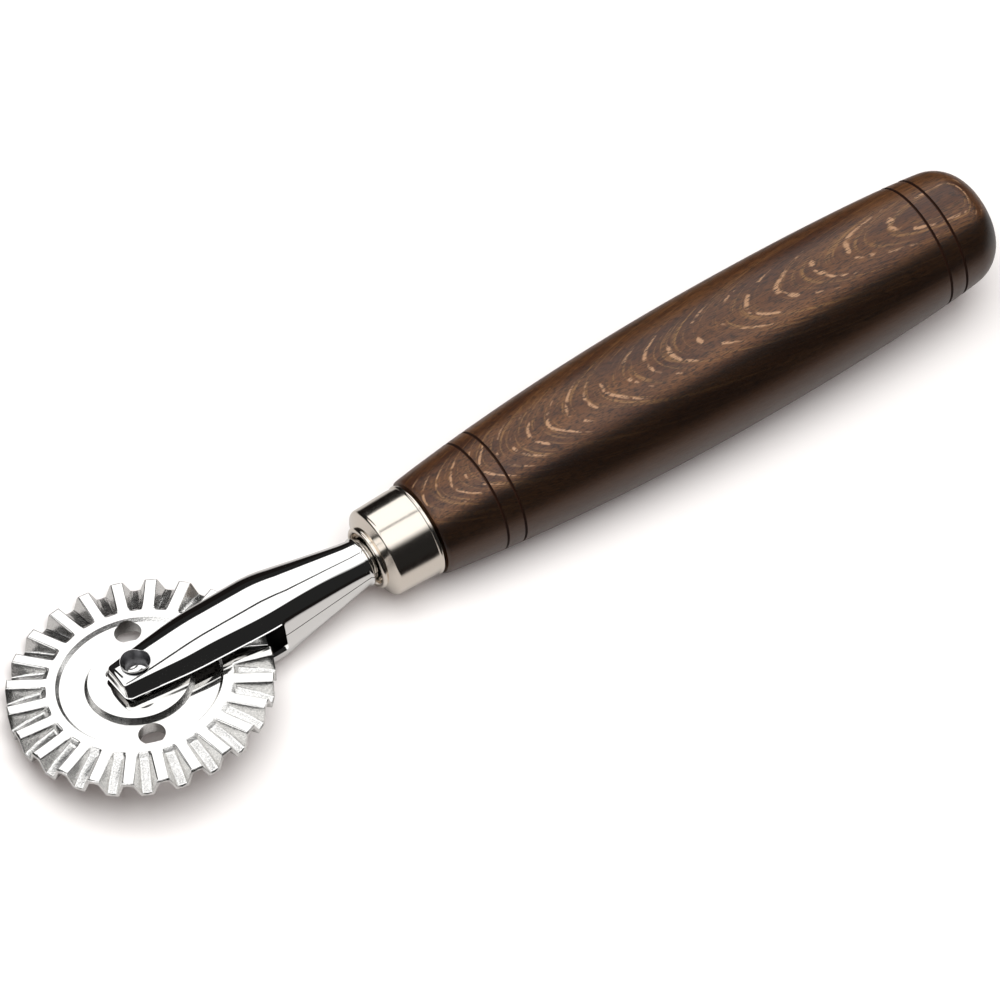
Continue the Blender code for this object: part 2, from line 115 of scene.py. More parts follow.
CROWN_POINTS = 12
CREASE_ROUND = 0.35
CREASE_POINTS = 5
ARM_SIDE_SHARES = (0.33, 0.67, 1)  # of the way down from the crease to the arm's edge
NECK_CROWN_ANGLES = (90, 45)  # degrees up from the seam, of the points that the crown turns into
NECK_SIDE_ANGLES = (37, 28, 20)
NECK_LOW_ANGLE = 10
BEND_EASE = 2.2  # how far to each side of a bend along the fork its rounding reaches
BEND_POINTS = 17
TIP_STEPS = 8
ARM_STEPS = 60
NECK_STEPS = 50

# Rivet, a tube whose end is flared over the arm
RIVET_HOLE_RADIUS = 2.3
RIVET_RIM = 0.04
RIVET_RIM_RADIUS = 2.28
RIVET_MOUTH_RADIUS = 2.24
RIVET_BORE = ((1.65, 1.2), (2.09, 0.35))  # (radius, depth under the arm's crown)
RIVET_OUTSIDE = ((2.32, 0.2), (1.9, 0.9))
RIVET_BOTTOM_RADIUS = 1.55
RIVET_BOTTOM_DEPTH = 2.5
RIVET_DISH = 0.35  # how far the middle of its bottom is sunk
RIVET_DISH_POINTS = 7
RIVET_FLARE = 1.0  # how deep the part is that follows the arm's crown
SHANK_RADIUS = 1.9
SHANK_MIDDLE = 0.1

# Ferrule
LIP_SETOUT = 0.5  # of the middle of the rolled lip, ahead of the ferrule's front
LIP_RADIUS = 4.65
LIP_BEAD = 0.45
LIP_ANGLES = (40, -180)  # degrees from outwards, where its roll starts and ends
FERRULE_WALL = 0.6
FERRULE_FRONT = 40.7
FERRULE_FRONT_RADIUS = 7.1
SHOULDER_INSIDE = 1.8  # how far in from the front and the side the inner rounding starts
SHOULDER_ROUND = 0.7
SHOULDER_SETBACK = 1.2  # of the middle of its rounding, behind the ferrule's front
SHOULDER_ANGLE = -65  # degrees, where the rounding runs out into the cone up to the lip
FERRULE_BACK = 49.2
FERRULE_BACK_RADIUS = 7.3
FERRULE_BEAD = 0.8
FERRULE_BEAD_HEIGHT = 0.15
BEAD_ANGLES = (90, -60)  # degrees from outwards, where its round starts and ends
BEAD_HOLLOW = ((0.04, 0.15), (0.02, 1.0))  # (depth, distance) of the wall ahead of the bead
NECK_BORE = 3.75

# Handle
HANDLE_SHOULDER = 49.5
HANDLE_FRONT_RADIUS = 7.8
HANDLE_CHAMFER = 0.25
BELLY_X = 104.0
BELLY_RADIUS = 11.3
BUTT_X = 151.4
BUTT_FLAT_RADIUS = 3.2
BUTT_ROUND = 6.3
BUTT_LEAN = 8.0  # degrees, slope of the wood where the butt's rounding starts
FRONT_SWELL = 15.0
FRONT_SWELL_SLOPE = 0.14
BELLY_REACH = 20.0
WOOD_POINTS = (60, 40)  # ahead of the belly and behind it
GROOVES = (59.3, 62.3, 139.7, 142.7)
GROOVE_WIDTH = 0.45
GROOVE_DEPTH = 0.45
GROOVE_POINTS = 9
TENON_START = 44.6
TENON_RADIUS = 6.2
TANG_BORE = 3.15
TANG_BORE_END = 84.3

# Sides of the round pieces, and steps of the roundings in their outlines
DRILL_SIDES = 64
RIVET_SIDES = 96
FERRULE_SIDES = 144
HANDLE_SIDES = 192
RIVET_RIM_STEPS = 4
BEAD_STEPS = 10
SHOULDER_STEPS = 12
SHOULDER_INSIDE_STEPS = 8
LIP_STEPS = 14
BUTT_STEPS = 24

# Plated finishes
HAZE = (0.7, 1.4)  # least and most roughness, over the finish's own
WAVE_HEIGHT = 0.05
PITS = (0.4, 0.6)  # where in the waves the pits are deepest, and where they end

# Grain: the growth rings lie nearly flat, and the lathe cuts them into long arches
RING_TILT = -17.0  # degrees about the handle, of the way in which the rings are stacked
RING_SLOPE = 0.13  # how much they climb towards the butt
PALE_RING_GAP = 0.65  # between the late rings that show as pale crescents
CROWN_BAND = (5.0, 2.2)  # from the handle's top line, where the crescents start and are full

# Noises in the wood: (name, mm along, across and through the rings, detail, distortion). Beech's
# vessels are finer than 0.1 mm, and the fibres are drawn 0.17 mm wide so that they show.
WOOD_GRAINS = (
    ("rings", 70.0, 8.0, 0.16, 3.0, 0.0),
    ("wander", 25.0, 6.0, 2.5, 1.0, 0.0),
    ("patches", 3.0, 2.2, 2.0, 1.0, 0.6),
    ("fibres", 1.6, 0.17, 0.17, 3.0, 0.0),
    ("tone", 30.0, 3.0, 3.0, 2.0, 0.0),
)
# A crescent is broken up by these: (name, none at, full at)
CRESCENTS = (("late_rings", 0.35, 0.47), ("patches", 0.46, 0.58), ("fibres", 0.66, 0.5))
STAINED_WOOD = "#402313"
# What is laid over the stained wood: (where, colour, none at, full at, most of it)
WOOD_COLOURS = (
    ("tone", "#644024", 0.3, 0.7, 1.0),
    ("rings", "#8E683F", 0.5, 0.72, 0.7),
    ("fibres", "#160D09", 0.45, 0.65, 0.85),
    ("crescents", "#B58D6B", 0.1, 0.9, 0.8),
    # painted shade: the near side of the wood darkened nearly black
    ("near_side", "#0E0805", -0.38, -0.57, 0.88),
    # painted light: further round underneath, the table's bounce light painted in as browner wood
    ("near_side", "#5E3A1E", -0.82, -0.98, 0.35),
)
WAXED_ROUGHNESS = (0.26, 0.44)
WAX_IOR = 1.5
FIBRE_BUMP = 0.4
FIBRE_HEIGHT = 0.06
BURNT_WOOD = "#2A160C"
BURNT_ROUGHNESS = (0.6, 0.9)
SOOT_SIZE = 0.5

# Camera, along the tool's axes
CAMERA_PLACE = (-342.51, -804.82, 970.9)
CAMERA_BACK = (-0.30577, -0.60631, 0.7341)
CAMERA_UP = (0.47127, 0.57357, 0.67002)
CAMERA_LENS = 319.68
CAMERA_SENSOR = 36
CAMERA_REACH = 10  # metres

# Table and studio, in metres
WHITE = "#FFFFFF"
TABLE_WHITE = "#F4F2F0"
TABLE_HALF = 2.0
ROOM_DARK = "#1A1716"
FILL = "#FFE9E6"  # the light that the room gives back, which tints the shadows
# Where mirrors see the table as bright: (way, dark from, bright from)
TABLE_EDGES = (
    ("Y", -0.05, -0.03),
    ("Y", 0.04, 0.025),
    ("X", -0.17, -0.13),
    ("X", 0.17, 0.13),
)
TABLE_GLOW = 0.05
TABLE_IN_MIRRORS = 0.65  # how much of the lit table the mirrors give back
# The softbox: (way, dark from, white from), as distances along and across over the height
SOFTBOX_EDGES = (
    ("across", -0.85, -0.4),
    ("across", 3.1, 2.8),
    ("along", -3.0, -2.4),
    ("along", 3.0, 2.4),
)
SOFTBOX_SEAM = 0.26  # where its two cloths meet, across
SOFTBOX_HEM = (0.03, 0.045)  # from the seam, where the hem is dark and where the cloth is white
SOFTBOX_LEVEL = 1.5
# The dark post beside its far end: (way, white from, dark from), sideways being along over across
POST_EDGES = (
    ("sideways", -0.5, -0.42),
    ("sideways", 0.05, 0.01),
    ("across", 0.6, 0.75),
)
ROOM_LEVEL = 0.02
FILL_LEVEL = 0.12
HORIZON = 0.0001  # the least height of a way that is divided by its height
LAMP_PLACE = (-0.1, -0.2, 2.0)
LAMP_SIZE = 1.8
LAMP_WATTS = 55.0

# Sockets of the colour mix node
MIX_A, MIX_B, MIX_RESULT = 6, 7, 2


def tool_axes():
    """The tool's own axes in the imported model, from the wheel's joint and the butt's face."""
    joint = frame["joints"][0]
    along = Vector(frame["record"]["mounts"][0]["axis"]).normalized()
    axle = Vector(joint["axis"]).normalized()
    axes = Matrix((along, axle.cross(along), axle)).transposed().to_4x4()
    axes.translation = Vector(joint["pos_m"])
    return axes


TOOL = tool_axes()


def linear(code):
    """A colour written in sRGB hex, as the shaders' linear values."""
    parts = [int(code[i : i + 2], 16) / 255 for i in (1, 3, 5)]
    return (*(c / 12.92 if c <= 0.04045 else ((c + 0.055) / 1.055) ** 2.4 for c in parts), 1)


def add_node(tree, kind, inputs=None, **settings):
    """Adds a node with its settings, and gives each input a value or a link."""
    made = tree.nodes.new(kind)
    for name, value in settings.items():
        setattr(made, name, value)
    for name, value in (inputs or {}).items():
        if isinstance(value, bpy.types.NodeSocket):
            tree.links.new(value, made.inputs[name])
        else:
            made.inputs[name].default_value = value
    return made


def new_material(name):
    """An empty material, its node tree and its output."""
    made = bpy.data.materials.new(name)
    made.use_nodes = True
    made.node_tree.nodes.clear()
    return made, made.node_tree, add_node(made.node_tree, "ShaderNodeOutputMaterial")


def plated(name, colour, roughness, ripple, grain=3.8, speckle=1.1, pitted=1.0):
    """A plated metal: a mirror or a satin that its buffing or its casting leaves uneven.

    grain and speckle are the widths in mm of the waves in the surface and of the duller spots.
    pitted is how bright the lowest places are beside the rest, 1 where there are no pits.
    """
    made, tree, out = new_material(name)
    place = add_node(tree, "ShaderNodeTexCoord").outputs["Object"]
    wave = add_node(
        tree, "ShaderNodeTexNoise", {"Vector": place, "Scale": 1 / (grain * MM), "Detail": 2.0}
    )
    haze = add_node(
        tree, "ShaderNodeTexNoise", {"Vector": place, "Scale": 1 / (speckle * MM), "Detail": 3.0}
    )
    rough = add_node(
        tree,
        "ShaderNodeMapRange",
        {
            "Value": haze.outputs["Fac"],
            "To Min": roughness * HAZE[0],
            "To Max": roughness * HAZE[1],
        },
    )
    bump = add_node(
        tree,
        "ShaderNodeBump",
        {"Height": wave.outputs["Fac"], "Strength": ripple, "Distance": WAVE_HEIGHT * MM},
    )
    pits = add_node(
        tree,
        "ShaderNodeMapRange",
        {
            "Value": wave.outputs["Fac"],
            "From Min": PITS[0],
            "From Max": PITS[1],
            "To Min": pitted,
        },
    )
    tone = add_node(
        tree,
        "ShaderNodeMix",
        {0: pits.outputs["Result"], MIX_A: (0, 0, 0, 1), MIX_B: linear(colour)},
        data_type="RGBA",
    )
    shader = add_node(
        tree,
        "ShaderNodeBsdfPrincipled",
        {
            "Base Color": tone.outputs[MIX_RESULT],
            "Metallic": 1.0,
            "Roughness": rough.outputs["Result"],
            "Normal": bump.outputs["Normal"],
        },
    )
    tree.links.new(shader.outputs["BSDF"], out.inputs["Surface"])
    return made


def wood_measures(tree):
    """How far a point is from the wheel's centre along the handle, and by its growth rings."""
    place = add_node(tree, "ShaderNodeTexCoord").outputs["Object"]
    from_wheel = add_node(
        tree, "ShaderNodeVectorMath", {0: place, 1: TOOL.translation}, operation="SUBTRACT"
    )
    tilt = math.radians(RING_TILT)
    ways = {
        "along": Vector((1, 0, 0)),
        "across": Vector((0, math.cos(tilt), -math.sin(tilt))),
        "stacked": Vector((RING_SLOPE, math.sin(tilt), math.cos(tilt))),
        "above": Vector((0, math.sin(tilt), math.cos(tilt))),
    }
    measures = {}
    for name, way in ways.items():
        measured = add_node(
            tree,
            "ShaderNodeVectorMath",
            {0: from_wheel.outputs["Vector"], 1: TOOL.to_3x3() @ way},
            operation="DOT_PRODUCT",
        )
        measures[name] = measured.outputs["Value"]
    return measures


def wood_grains(tree, measures):
    """The noises of WOOD_GRAINS, and the late rings, which follow one another up the stack."""
    spread = add_node(
        tree,
        "ShaderNodeCombineXYZ",
        {"X": measures["along"], "Y": measures["across"], "Z": measures["stacked"]},
    )
    grains = {}
    for name, along, across, stacked, detail, distortion in WOOD_GRAINS:
        scaled = add_node(
            tree,
            "ShaderNodeMapping",
            {
                "Vector": spread.outputs["Vector"],
                "Scale": (1 / (along * MM), 1 / (across * MM), 1 / (stacked * MM)),
            },
        )
        noise = add_node(
            tree,
            "ShaderNodeTexNoise",
            {
                "Vector": scaled.outputs["Vector"],
                "Scale": 1.0,
                "Detail": detail,
                "Roughness": 0.6,
                "Distortion": distortion,
            },
        )
        grains[name] = noise.outputs["Fac"]
    ring_count = add_node(
        tree,
        "ShaderNodeMath",
        {0: measures["stacked"], 1: 1 / (PALE_RING_GAP * MM), 2: grains["wander"]},
        operation="MULTIPLY_ADD",
    )
    grains["late_rings"] = add_node(
        tree, "ShaderNodeMath", {0: ring_count.outputs["Value"], 1: 0.5}, operation="PINGPONG"
    ).outputs["Value"]
    return grains


def crescents(tree, measures, grains):
    """How much of a pale crescent there is: along the top line, on the late rings, broken up."""
    beside = add_node(
        tree,
        "ShaderNodeMath",
        {0: measures["across"], 1: measures["across"]},
        operation="MULTIPLY",
    )
    none, full = ((distance * MM) ** 2 for distance in CROWN_BAND)
    amount = add_node(
        tree,
        "ShaderNodeMapRange",
        {"Value": beside.outputs["Value"], "From Min": none, "From Max": full},
        interpolation_type="SMOOTHSTEP",
    ).outputs["Result"]
    for name, low, high in CRESCENTS:
        share = add_node(
            tree, "ShaderNodeMapRange", {"Value": grains[name], "From Min": low, "From Max": high}
        )
        amount = add_node(
            tree, "ShaderNodeMath", {0: amount, 1: share.outputs["Result"]}, operation="MULTIPLY"
        ).outputs["Value"]
    return amount


def near_side(tree, measures):
    """How far round a point is from the top line: -1 where the wood faces the viewer, 1 behind."""
    outwards = add_node(
        tree, "ShaderNodeCombineXYZ", {"X": measures["across"], "Y": measures["above"]}
    )
    radius = add_node(
        tree, "ShaderNodeVectorMath", {0: outwards.outputs["Vector"]}, operation="LENGTH"
    )
    return add_node(
        tree,
        "ShaderNodeMath",
        {0: measures["across"], 1: radius.outputs["Value"]},
        operation="DIVIDE",
    ).outputs["Value"]


def dark_beech():
    """Beech that is stained dark and waxed: fine streaks at the sides, pale arches on the crown.

    Its colour follows the growth rings. Where they meet the surface steeply they are thin golden
    streaks, and where they lie almost in it they widen into pale crescents. The near side is
    painted nearly black as painted shade, and further round underneath it is painted a little
    browner as painted light that the table gives back.
    """
    made, tree, out = new_material("dark_stained_beech")
    measures = wood_measures(tree)
    grains = wood_grains(tree, measures)
    grains["crescents"] = crescents(tree, measures, grains)
    grains["near_side"] = near_side(tree, measures)
    colour = linear(STAINED_WOOD)
    for name, code, none, full, most in WOOD_COLOURS:
        share = add_node(
            tree,
            "ShaderNodeMapRange",
            {"Value": grains[name], "From Min": none, "From Max": full, "To Max": most},
            interpolation_type="SMOOTHSTEP",
        )
        colour = add_node(
            tree,
            "ShaderNodeMix",
            {0: share.outputs["Result"], MIX_A: colour, MIX_B: linear(code)},
            data_type="RGBA",
        ).outputs[MIX_RESULT]
    rough = add_node(
        tree,
        "ShaderNodeMapRange",
        {
            "Value": grains["fibres"],
            "To Min": WAXED_ROUGHNESS[0],
            "To Max": WAXED_ROUGHNESS[1],
        },
    )
    bump = add_node(
        tree,
        "ShaderNodeBump",
        {"Height": grains["fibres"], "Strength": FIBRE_BUMP, "Distance": FIBRE_HEIGHT * MM},
    )
    shader = add_node(
        tree,
        "ShaderNodeBsdfPrincipled",
        {
            "Base Color": colour,
            "Roughness": rough.outputs["Result"],
            "Normal": bump.outputs["Normal"],
            "IOR": WAX_IOR,
        },
    )
    tree.links.new(shader.outputs["BSDF"], out.inputs["Surface"])
    return made


def burnt_wood():
    """The bottom of a groove, scorched black-brown by a wire held in it on the lathe."""
    made, tree, out = new_material("wire_burnt_groove")
    place = add_node(tree, "ShaderNodeTexCoord").outputs["Object"]
    soot = add_node(tree, "ShaderNodeTexNoise", {"Vector": place, "Scale": 1 / (SOOT_SIZE * MM)})
    rough = add_node(
        tree,
        "ShaderNodeMapRange",
        {
            "Value": soot.outputs["Fac"],
            "To Min": BURNT_ROUGHNESS[0],
            "To Max": BURNT_ROUGHNESS[1],
        },
    )
    shader = add_node(
        tree,
        "ShaderNodeBsdfPrincipled",
        {"Base Color": linear(BURNT_WOOD), "Roughness": rough.outputs["Result"]},
    )
    tree.links.new(shader.outputs["BSDF"], out.inputs["Surface"])
    return made


# Chrome that was buffed: a mirror, whose long low waves bend what it shows
CHROME = plated("buffed_chrome", "#EBEAE8", 0.05, 0.15)
# Chrome on the raw casting, where no buffing reached: pale, dull and grainy, with darker pits.
# The casting's skin is finer than 0.1 mm, and its grain is drawn 0.25 mm wide so that it shows.
CAST = plated("as_cast_chrome", "#EBEAE8", 0.2, 0.4, grain=0.25, speckle=0.8, pitted=0.8)
# Nickel that was buffed: warmer than the chrome, with softer edges in what it mirrors
NICKEL = plated("buffed_nickel", "#E4DBD0", 0.15, 0.3)
# Steel as it was drawn: grey, with a broad dull shine
STEEL = plated("drawn_steel", "#A2A2A4", 0.3, 0.5)
# The inside of the pressings, which nothing polished: dull, and dark as painted shade so that it reads as depth
UNPOLISHED_INSIDE_PAINTED_SHADE = plated("unpolished_inside_painted_shade", "#4A4745", 0.45, 0.5)
# Waxed beech: dark and streaked, with a soft shine along its top, and painted shade on its near side
WOOD = dark_beech()
# Burnt beech: a thin line, darker and duller than the wood beside it
BURNT = burnt_wood()


def linked(name, data):
    """A new object in the scene."""
    made = bpy.data.objects.new(name, data)
    bpy.context.scene.collection.objects.link(made)
    return made


def meshed(name, shape):
    """A mesh of a shape, which is freed."""
    mesh = bpy.data.meshes.new(name)
    shape.to_mesh(mesh)
    shape.free()
    return mesh


def drawn(name, shape):
    """An object of a shape in the tool's axes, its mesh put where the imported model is."""
    bmesh.ops.transform(shape, matrix=TOOL @ Matrix.Scale(MM, 4), verts=shape.verts)
    return linked(name, meshed(name, shape))


def smoothed(piece, sharp):
    """Shades a piece smooth but for edges with more degrees than sharp between their faces."""
    piece.data.shade_smooth()
    piece.data.set_sharp_from_angle(angle=math.radians(sharp))


def placed(name, shape, finishes, body, node, sharp=SHARP):
    """Makes a piece of a shape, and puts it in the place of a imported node."""
    piece = drawn(name, shape)
    for finish in finishes:
        piece.data.materials.append(finish)
    smoothed(piece, sharp)
    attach(piece, body)
    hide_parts(node)
    return piece


def drilled(piece, radius, centres, reach):
    """Drills round holes along the axle's way at (x, y) places, and keeps what is left."""
    shape = bmesh.new()
    for x, y in centres:
        bmesh.ops.create_cone(
            shape,
            cap_ends=True,
            segments=DRILL_SIDES,
            radius1=radius,
            radius2=radius,
            depth=reach,
            matrix=Matrix.Translation((x, y, 0)),
        )
    for face in shape.faces:
        face.material_index = 1
    drill = drawn("drill", shape)
    hole = piece.modifiers.new("holes", "BOOLEAN")
    hole.operation = "DIFFERENCE"
    hole.solver = "EXACT"
    hole.object = drill
    hole.use_self = True
    graph = bpy.context.evaluated_depsgraph_get()
    result = bpy.data.meshes.new_from_object(piece.evaluated_get(graph))
    piece.modifiers.clear()
    piece.data = result
    result.name = piece.name
    smoothed(piece, SHARP)
    bpy.data.objects.remove(drill)


def bevelled(piece, width, segments):
    """Takes the sharp edges off a piece."""
    bevel = piece.modifiers.new("broken_edges", "BEVEL")
    bevel.width = width * MM
    bevel.segments = segments
    bevel.limit_method = "ANGLE"
    bevel.angle_limit = math.radians(SHARP)
    bevel.harden_normals = True
    bevel.use_clamp_overlap = True


def arc(centre, radius, start, end, steps):
    """Points of an arc in a (radius, height) profile, its angles in degrees from outwards."""
    angles = np.radians(np.linspace(start, end, steps + 1))
    return [(centre[0] + radius * math.cos(a), centre[1] + radius * math.sin(a)) for a in angles]


def turned(profile, sides, closed, along="Z"):
    """A shape turned from (radius, height) points about the axle, or about the handle's axis."""
    shape = bmesh.new()
    corners = [shape.verts.new((radius, 0, height)) for radius, height in profile]
    edges = chain_edges(shape, corners)
    if closed:
        edges.append(shape.edges.new((corners[-1], corners[0])))
    bmesh.ops.spin(
        shape,
        geom=corners + edges,
        cent=(0, 0, 0),
        axis=(0, 0, 1),
        angle=math.tau,
        steps=sides,
        use_merge=True,
    )
    bmesh.ops.remove_doubles(shape, verts=shape.verts, dist=MERGE_GAP)
    bmesh.ops.recalc_face_normals(shape, faces=shape.faces)
    if along == "X":
        turn = Matrix.Rotation(math.pi / 2, 3, "Y")
        bmesh.ops.rotate(shape, cent=(0, 0, 0), matrix=turn, verts=shape.verts)
    return shape


def chain_edges(shape, chain):
    """The edges along a chain of corners, made where they aren't there yet."""
    return [shape.edges.get(pair) or shape.edges.new(pair) for pair in zip(chain, chain[1:])]


def swept(shape, chain, sections):
    """Draws a chain of corners on through sections of as many points, and returns the last one."""
    for section in sections:
        made = bmesh.ops.extrude_edge_only(shape, edges=chain_edges(shape, chain))["geom"]
        copies = {tuple(v.co): v for v in made if isinstance(v, bmesh.types.BMVert)}
        chain = [copies[tuple(corner.co)] for corner in chain]
        for corner, point in zip(chain, section):
            corner.co = point
    return chain


def rim_section(radius, cut):
    """One flute's length of the rim's upper face at a radius; cut is 0 where no flute reaches."""
    share = (max(radius, FLUTE_START) - FLUTE_START) / (WHEEL_RADIUS - FLUTE_START)
    sizes = (FLUTE_DEPTHS, FLUTE_MOUTHS, FLUTE_FLOORS)
    depth, mouth, bottom = (inner + share * (outer - inner) for inner, outer in sizes)
    half = 180 / FLUTES
    edge = half - math.degrees(mouth / 2 / max(radius, FLUTE_START))
    foot = half - math.degrees(bottom / 2 / max(radius, FLUTE_START))
    points = []
    for angle in (-half, -foot, -edge, 0, edge, foot, half):
        drop = cut * depth if abs(angle) >= foot else 0
        turn = math.radians(angle)
        points.append((radius * math.cos(turn), radius * math.sin(turn), RIM_HALF - drop))
    return points


def wheel_face():
    """The upper face of the wheel from the bore to the rim: one flute's length, spun round."""
    shape = bmesh.new()
    sections = [
        [(x, y, height) for x, y, _ in rim_section(radius, 0)]
        for radius, height in (
            (WHEEL_BORE, BOSS_HALF),
            (BOSS_RADIUS, BOSS_HALF),
            (BOSS_RADIUS, HUB_HALF),
            (HUB_TOP_RADIUS, HUB_HALF),
            (HUB_FOOT_RADIUS, WEB_HALF),
            (WEB_OUTER_RADIUS, WEB_HALF),
            (RIM_INNER_RADIUS, RIM_HALF),
            (FLUTE_START, RIM_HALF),
        )
    ]
    middle = (FLUTE_FLOOR_START + WHEEL_RADIUS) / 2
    sections += [rim_section(radius, 1) for radius in (FLUTE_FLOOR_START, middle, WHEEL_RADIUS)]
    swept(shape, [shape.verts.new(point) for point in sections[0]], sections[1:])
    bmesh.ops.spin(
        shape,
        geom=shape.verts[:] + shape.edges[:] + shape.faces[:],
        cent=(0, 0, 0),
        axis=(0, 0, 1),
        angle=math.tau * (FLUTES - 1) / FLUTES,
        steps=FLUTES - 1,
        use_duplicate=True,
    )
    bmesh.ops.remove_doubles(shape, verts=shape.verts, dist=MERGE_GAP)
    return shape


def in_floor(place):
    """Whether a place is on the floor of a flute, short of its end wall."""
    return place.xy.length > FLUTE_FLOOR_START - SAME and abs(place.z) < RIM_HALF - BELOW_FACE


def beside_rib(place):
    """Whether a place is on the face of the rim, where the ribs stand between the flutes."""
    return place.xy.length > FLUTE_START - SAME and abs(place.z) > RIM_HALF - SAME


def at_rib_end(place):
    """Whether a place is on the outer end of a rib's face."""
    return place.xy.length > WHEEL_RADIUS - SAME and abs(place.z) > RIM_HALF - SAME


def fluted_wheel():
    """Two fluted faces, half a flute apart, with the ribs' edges worn round by the buffing."""
    shape = wheel_face()
    upper = shape.verts[:] + shape.edges[:] + shape.faces[:]
    copied = bmesh.ops.duplicate(shape, geom=upper)["geom"]
    lower = [v for v in copied if isinstance(v, bmesh.types.BMVert)]
    bmesh.ops.scale(shape, vec=(1, 1, -1), verts=lower)
    half = Matrix.Rotation(math.pi / FLUTES, 3, "Z")
    bmesh.ops.rotate(shape, cent=(0, 0, 0), matrix=half, verts=lower)
    open_edges = [e for e in shape.edges if e.is_boundary]
    for outer in (True, False):
        loop = [e for e in open_edges if (e.verts[0].co.xy.length > WEB_OUTER_RADIUS) == outer]
        bmesh.ops.bridge_loops(shape, edges=loop)
    bmesh.ops.recalc_face_normals(shape, faces=shape.faces)
    for face in shape.faces:
        place = face.calc_center_median()
        in_flute = place.xy.length > FLUTE_START and abs(place.z) < RIM_HALF - BELOW_FACE
        steep = abs(face.normal.z) < math.cos(math.radians(STEEP))
        face.material_index = int(in_flute or steep)
    worn = ((in_floor, FLUTE_ROUND), (at_rib_end, RIB_END_ROUND), (beside_rib, RIB_ROUND))
    for pick, width in worn:
        bent = [e for e in shape.edges if e.calc_face_angle() > math.radians(BENT)]
        bmesh.ops.bevel(
            shape,
            geom=[e for e in bent if all(pick(v.co) for v in e.verts)],
            offset=width,
            offset_type="OFFSET",
            segments=3,
            profile=0.5,
            affect="EDGES",
            clamp_overlap=True,
            material=-1,
        )
    turn = Matrix.Rotation(math.radians(WHEEL_TURN), 3, "Z")
    bmesh.ops.rotate(shape, cent=(0, 0, 0), matrix=turn, verts=shape.verts)
    wheel = placed("chromed_wheel", shape, [CHROME, CAST], "wheel", "fluted_wheel")
    angle = math.radians(WHEEL_TURN + WEB_HOLE_RIB * 360 / FLUTES)
    x, y = WEB_HOLE_CIRCLE_RADIUS * math.cos(angle), WEB_HOLE_CIRCLE_RADIUS * math.sin(angle)
    drilled(wheel, WEB_HOLE_RADIUS, [(x, y), (-x, -y)], 4 * RIM_HALF)
    bevelled(wheel, WHEEL_EDGE_ROUND, 2)


def eased(x, places, values):
    """The value at x of straight runs between places, with the bends rounded off."""
    around = x + BEND_EASE * np.linspace(-1, 1, BEND_POINTS)
    return float(np.interp(around, places, values).mean())


def fork_size(x):
    """Half the width and the height of the fork at x."""
    widths = [ARM_TIP_WIDTH, ARM_WAIST_WIDTH, SHOULDER_WIDTH, SHOULDER_WIDTH, 2 * NECK_RADIUS]
    width = eased(x, [ARM_TIP, ARM_WAIST, SHOULDER, SLOT_END, NECK_START], widths)
    heights = [ARM_TIP_HEIGHT, CREST_HEIGHT, CREST_HEIGHT, NECK_RADIUS]
    height = eased(x, [ARM_TIP, CREST_START, SLOT_END, NECK_START], heights)
    bead = float(np.interp(x, NECK_BEAD, NECK_BEAD_RISE))
    return width / 2 + bead, height + bead


def crown_drop(across):
    """How far the arm's crown has come down at a distance across from its middle."""
    return across**2 / (2 * CROWN_RADIUS)


def fork_quarter(x, shrink, neck_side):
    """(y, z) points of the fork's section at x, from the crest down to the arm's edge or seam."""
    half_width, height = fork_size(x)
    half_width -= shrink
    height -= shrink
    crown_half = half_width - CROWN_INSET
    across = [i / CROWN_POINTS * crown_half for i in range(CROWN_POINTS + 1)]
    crown = [(y, height - crown_drop(y)) for y in across]
    crease = Vector(crown[-1])
    foot = Vector((half_width, SLOT_HALF))
    start = Vector(crown[-2])
    stop = crease + CREASE_ROUND * (foot - crease).normalized()
    rounded = [tuple(p) for p in interpolate_bezier(start, crease, crease, stop, CREASE_POINTS)]
    side = [tuple(stop.lerp(foot, share)) for share in ARM_SIDE_SHARES]
    arm = crown[:-2] + rounded + side
    angles = [*np.linspace(*NECK_CROWN_ANGLES, len(arm) - len(side)), *NECK_SIDE_ANGLES]
    if neck_side:
        arm += [(half_width, SLOT_HALF / 2), (half_width, SEAM_HALF)]
        angles += [NECK_LOW_ANGLE, math.degrees(math.asin(SEAM_HALF / height))]
    neck = [(half_width * math.cos(a), height * math.sin(a)) for a in np.radians(angles)]
    blend = eased(x, [SLOT_END, NECK_START], [0, 1])
    pairs = zip(arm, neck)
    return [tuple(np.add(np.multiply(a, 1 - blend), np.multiply(n, blend))) for a, n in pairs]


def fork_section(x, shrink=0.0, neck_side=False):
    """The whole section, from one edge over the crest to the other."""
    quarter = fork_quarter(x, shrink, neck_side)
    return [(x, y, z) for y, z in reversed(quarter)] + [(x, -y, z) for y, z in quarter[1:]]


def turn_out_edge(shape, side):
    """Turns the arm's edge outwards beside the slot, where it catches a thin line of light."""
    edge = [
        e
        for e in shape.edges
        if e.is_boundary
        and all(abs(v.co.z) < SLOT_HALF + SAME and v.co.x < SLOT_END - FLARE_STOP for v in e.verts)
    ]
    corners = {v for e in edge for v in e.verts}
    outward = {tuple(v.co): Vector((*v.normal.xy, 0)).normalized() for v in corners}
    made = bmesh.ops.extrude_edge_only(shape, edges=edge)["geom"]
    for corner in made:
        if isinstance(corner, bmesh.types.BMVert):
            corner.co += FLARE * outward[tuple(corner.co)]
    for corner in corners:
        corner.co.z += side * FLARE_RISE


